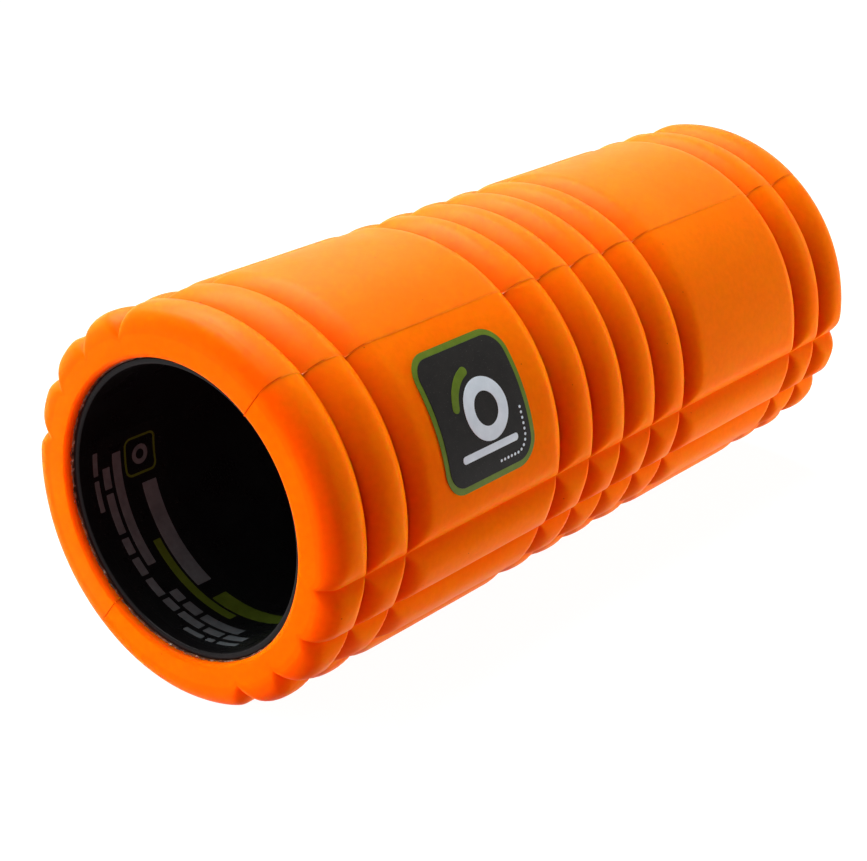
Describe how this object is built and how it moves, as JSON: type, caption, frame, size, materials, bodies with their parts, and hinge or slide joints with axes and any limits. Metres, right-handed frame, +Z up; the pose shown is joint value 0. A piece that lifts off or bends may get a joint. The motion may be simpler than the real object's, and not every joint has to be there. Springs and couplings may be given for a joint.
{
  "type": "foam roller",
  "caption": "Hollow-core massage foam roller: a ribbed and blocked orange foam sleeve glued on a rigid black tube.",
  "frame": {"origin": "middle of the roller's axis", "axes": "+X along the roller's axis, away from the end with the badge; +Z up as the roller lies on a floor; the badge faces -Y"},
  "size_m": [0.33, 0.14, 0.14],
  "materials": {
    "foam": "matt closed-cell EVA foam, satin where moulded",
    "core": "black moulded plastic, semi-gloss, with a smooth rounded rim",
    "adhesive": "dried contact adhesive, uneven",
    "badge_green": "satin print film",
    "badge_black": "satin print film",
    "badge_silver": "satin print ink",
    "label_film": "semi-gloss printed film",
    "label_grey": "satin print ink",
    "label_green": "satin print ink"
  },
  "bodies": {
    "root": {"core_tube": "core", "core_bond_front": "adhesive", "core_bond_rear": "adhesive", "foam_half_front": "foam", "foam_half_rear": "foam", "seam_bond_upper": "adhesive", "seam_bond_lower": "adhesive", "badge_border": "badge_green", "badge_panel": "badge_black", "badge_emblem": "badge_silver", "badge_accent": "badge_green", "badge_dots": "badge_silver", "core_label": "label_film", "label_print_grey": "label_grey", "label_print_green": "label_green"}
  },
  "joints": []
}
